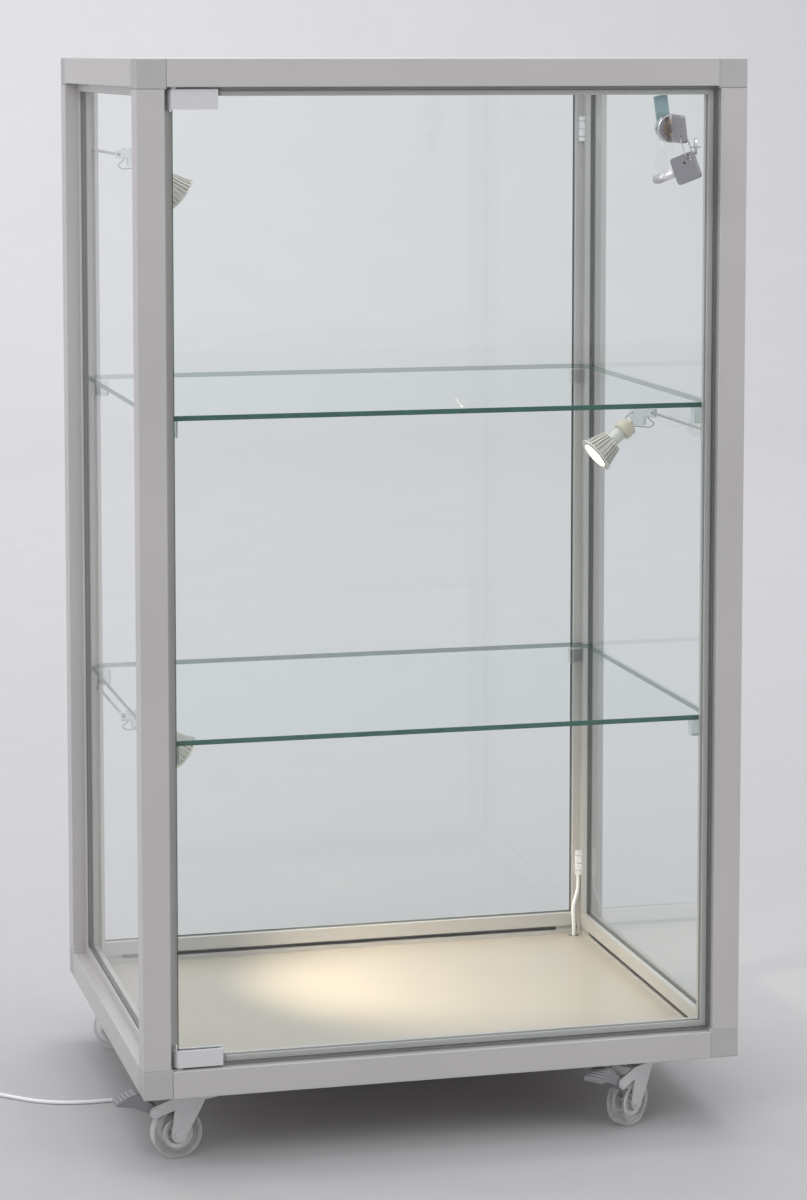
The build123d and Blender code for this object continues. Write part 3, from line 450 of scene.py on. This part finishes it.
def link_mesh(name, mesh_maker, material, body):
    """Make a piece from a mesh built by a function, and let it ride on a body."""
    mesh = bpy.data.meshes.new(name)
    build = bmesh.new()
    mesh_maker(build)
    build.to_mesh(mesh)
    build.free()
    for polygon in mesh.polygons:
        polygon.use_smooth = True
    piece = bpy.data.objects.new(name, mesh)
    scene.collection.objects.link(piece)
    mesh.materials.append(material)
    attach(piece, body)


def spokes(axis, segments):
    """Unit vectors spread evenly round an axis."""
    side = axis.orthogonal().normalized()
    other = axis.cross(side)
    for step in range(segments):
        angle = 2 * math.pi * step / segments
        yield side * math.cos(angle) + other * math.sin(angle)


def turned(build, profile, origin, axis, segments=48):
    """A turned shape: (radius, height) pairs spun about an axis through the origin."""
    up = axis.normalized()
    rings = []
    for radius, height in profile:
        rings.append([build.verts.new(origin + (up * height + spoke * radius) * MM) for spoke in spokes(up, segments)])
    for lower, upper in zip(rings, rings[1:]):
        for step in range(segments):
            after = (step + 1) % segments
            build.faces.new((lower[step], lower[after], upper[after], upper[step]))
    build.faces.new(list(reversed(rings[0])))
    build.faces.new(rings[-1])
    bmesh.ops.recalc_face_normals(build, faces=build.faces)


def make_lens(name):
    """The domed, lit face of a lamp, held by a thin ring."""
    origin = lamp_point(name, SOCKET + BEAM * (FACE_REACH - LENS_DEPTH))
    axis = lamp_direction(name, BEAM)
    link_mesh(f"lamp_lens_{name}", lambda build: turned(build, DOME, origin, axis), materials["lens"],
              f"head_{name}")
    link_mesh(f"lamp_bezel_{name}", lambda build: turned_ring(build, BEZEL, origin, axis), materials["heat_sink"],
              f"head_{name}")


def turned_ring(build, profile, origin, axis, segments=64):
    """A closed ring section spun about an axis."""
    up = axis.normalized()
    rings = []
    for spoke in spokes(up, segments):
        rings.append([build.verts.new(origin + (up * height + spoke * radius) * MM) for radius, height in profile])
    count = len(profile)
    for step in range(segments):
        here = rings[step]
        there = rings[(step + 1) % segments]
        for k in range(count):
            build.faces.new((here[k], here[(k + 1) % count], there[(k + 1) % count], there[k]))
    bmesh.ops.recalc_face_normals(build, faces=build.faces)


def make_lamp_wire(name, number, spots):
    """A thin bent wire between the terminal and the socket."""
    curve = bpy.data.curves.new(f"lamp_wire_{name}_{number}", "CURVE")
    curve.dimensions = "3D"
    spline = curve.splines.new("NURBS")
    spline.points.add(len(spots) - 1)
    for point, spot in zip(spline.points, spots):
        point.co = (*lamp_point(name, spot), 1.0)
    spline.order_u = 4
    spline.use_endpoint_u = True
    spline.resolution_u = 12
    curve.bevel_depth = WIRE_RADIUS * MM
    curve.bevel_resolution = 4
    curve.use_fill_caps = True
    wire = bpy.data.objects.new(f"lamp_wire_{name}_{number}", curve)
    scene.collection.objects.link(wire)
    curve.materials.append(materials["wire"])
    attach(wire, f"head_{name}")


def make_spot(name, energy, spread):
    """The light that a lamp throws."""
    data = bpy.data.lights.new(f"spot_{name}", "SPOT")
    data.energy = energy
    data.color = SPOT_COLOUR
    data.spot_size = math.radians(spread)
    data.spot_blend = 0.9
    data.shadow_soft_size = 0.012
    light = bpy.data.objects.new(f"spot_{name}", data)
    light.location = lamp_point(name, SOCKET + BEAM * (FACE_REACH + 4))
    light.rotation_euler = lamp_direction(name, BEAM).to_track_quat("-Z", "Y").to_euler()
    scene.collection.objects.link(light)


for lamp in LAMPS:
    make_lens(lamp)
    for number, spots in enumerate(WIRES, 1):
        make_lamp_wire(lamp, number, spots)
make_spot("right", 1.0, 60)
make_spot("upper_left", 1.0, 60)
make_spot("lower_left", 7.5, 88)


# -------------------------------------------------------------------------------------- castors

HUB_RING = [(9.5, -5.0), (15.5, -5.0), (15.5, 5.0), (14.6, 5.6), (13.8, 5.0), (10.4, 5.0)]
HUB_FACE = 6.6
HUB_FLATNESS = 0.12


def make_castor_hubs():
    """A grey ring round the hub on both faces of each wheel."""
    for corner in ("front_left", "front_right", "back_left", "back_right"):
        joint = next(j for j in frame["joints"] if j["name"] == f"castor_roll_{corner}")
        centre = Vector(joint["pos_m"])
        axis = Vector(joint["axis"])
        def hub(build):
            for side in (1, -1):
                section = [(radius, side * (HUB_FACE + height * HUB_FLATNESS)) for radius, height in HUB_RING]
                turned_ring(build, section, centre, axis, 48)
        link_mesh(f"hub_ring_{corner}", hub, materials["hub"], f"wheel_{corner}")


make_castor_hubs()


# ----------------------------------------------------------------------------------------- keys

# Half the depth of the dark mark, which shows on both faces of the spare key's head
MARK_HALF = 2.45
MARK_ABOVE_MIDDLE = 5.5
SPARE_HEAD = (230.0, -268.0, 966.2)
SPARE_BLADE = Vector((-0.54, 0.77, -0.33)).normalized()
SPARE_NORMAL = Vector((0.784, 0.6025, 0.1234)).normalized()
SHAFT_HALF = 1.15
SHAFT_OUTLINE = [(13.6, -4.5), (36.8, -4.5), (41.2, -1.6), (41.2, 0.8), (39.4, 4.5), (13.6, 4.5)]


def make_key_shaft():
    """The spare key's bright metal shaft."""
    across = SPARE_NORMAL.cross(SPARE_BLADE).normalized()
    head = place(*SPARE_HEAD)

    def sleeve(build):
        faces = []
        for depth in (-SHAFT_HALF, SHAFT_HALF):
            level = SPARE_NORMAL * depth
            faces.append([build.verts.new(head + (SPARE_BLADE * u + across * v + level) * MM)
                          for u, v in SHAFT_OUTLINE])
        build.faces.new(list(reversed(faces[0])))
        build.faces.new(faces[1])
        count = len(SHAFT_OUTLINE)
        for k in range(count):
            after = (k + 1) % count
            build.faces.new((faces[0][k], faces[0][after], faces[1][after], faces[1][k]))
        bmesh.ops.recalc_face_normals(build, faces=build.faces)
        bmesh.ops.bevel(build, geom=build.edges[:], offset=0.0003, segments=2, affect="EDGES")
    link_mesh("spare_key_shaft", sleeve, materials["shaft"], "spare_key")


make_key_shaft()


def make_key_mark():
    """A small dark mark through the spare key's head, above its middle."""
    upward = (Vector((0, 0, 1)) - SPARE_NORMAL * SPARE_NORMAL.z).normalized()
    centre = place(*SPARE_HEAD) + upward * MARK_ABOVE_MIDDLE * MM
    disc = [(1.2, -MARK_HALF), (1.35, -MARK_HALF + 0.1), (1.35, MARK_HALF - 0.1), (1.2, MARK_HALF)]
    link_mesh("spare_key_mark", lambda build: turned(build, disc, centre, SPARE_NORMAL, 24), materials["dark_disc"],
              "spare_key")


make_key_mark()


# ---------------------------------------------------------------------------------------- stage

# Metres
SWEEP_RADIUS = 2.5
WALL_BACK = 8.0
SWEEP_EXTENT = 9.0
PAPER = (0.43, 0.425, 0.43)


def make_floor():
    """A plain pale floor that curves up into a plain pale wall well behind the showcase."""
    mesh = bpy.data.meshes.new("studio_sweep")
    build = bmesh.new()
    turn_start = WALL_BACK - SWEEP_RADIUS
    line = [(-SWEEP_EXTENT, 0.0), (turn_start, 0.0)]
    line += [(turn_start + SWEEP_RADIUS * math.sin(a), SWEEP_RADIUS - SWEEP_RADIUS * math.cos(a))
             for a in (math.radians(5 * k) for k in range(1, 18))]
    line += [(WALL_BACK, SWEEP_RADIUS), (WALL_BACK, SWEEP_EXTENT)]
    rows = [[build.verts.new((x, y, z)) for x in (-SWEEP_EXTENT, SWEEP_EXTENT)] for y, z in line]
    for lower, upper in zip(rows, rows[1:]):
        build.faces.new((lower[0], lower[1], upper[1], upper[0]))
    build.to_mesh(mesh)
    build.free()
    for polygon in mesh.polygons:
        polygon.use_smooth = True
    sweep = bpy.data.objects.new("studio_sweep", mesh)
    scene.collection.objects.link(sweep)
    mesh.materials.append(solid_material("studio_paper", PAPER, 0.0, 0.75, 0.01, 20.0, EVEN, 0.02))


def make_light(name, spot, aim, size, energy, colour):
    """A soft square lamp of the studio."""
    data = bpy.data.lights.new(name, "AREA")
    data.shape = "RECTANGLE"
    data.size = size[0]
    data.size_y = size[1]
    data.energy = energy
    data.color = colour
    light = bpy.data.objects.new(name, data)
    light.location = spot
    light.rotation_euler = (Vector(aim) - Vector(spot)).to_track_quat("-Z", "Y").to_euler()
    scene.collection.objects.link(light)


def make_world():
    """Even pale surroundings."""
    world = bpy.data.worlds.new("studio")
    world.use_nodes = True
    background = world.node_tree.nodes["Background"]
    background.inputs["Color"].default_value = (0.86, 0.86, 0.90, 1)
    background.inputs["Strength"].default_value = 0.84
    scene.world = world


make_floor()
make_world()
make_light("key_light", (-2.4, -2.6, 3.0), (0, 0, 0.5), (2.2, 2.2), 48.0, (0.98, 0.98, 1.0))
make_light("wall_light", (-0.5, 3.5, 7.0), (0.4, 8.0, 3.4), (6.0, 2.0), 620.0, (0.97, 0.97, 1.0))
make_light("top_light", (0.2, 0.2, 3.4), (0.0, 0.0, 0.0), (2.5, 2.5), 36.0, (1.0, 1.0, 1.0))
make_light("edge_light", (-3.4, 1.2, 1.4), (0, 0, 0.6), (0.5, 2.4), 16.0, (0.97, 0.96, 1.0))
make_light("fill_light", (2.6, -2.0, 2.0), (0, 0, 0.5), (1.8, 1.8), 16.0, (1.0, 0.99, 0.98))
scene.view_settings.view_transform = "Standard"
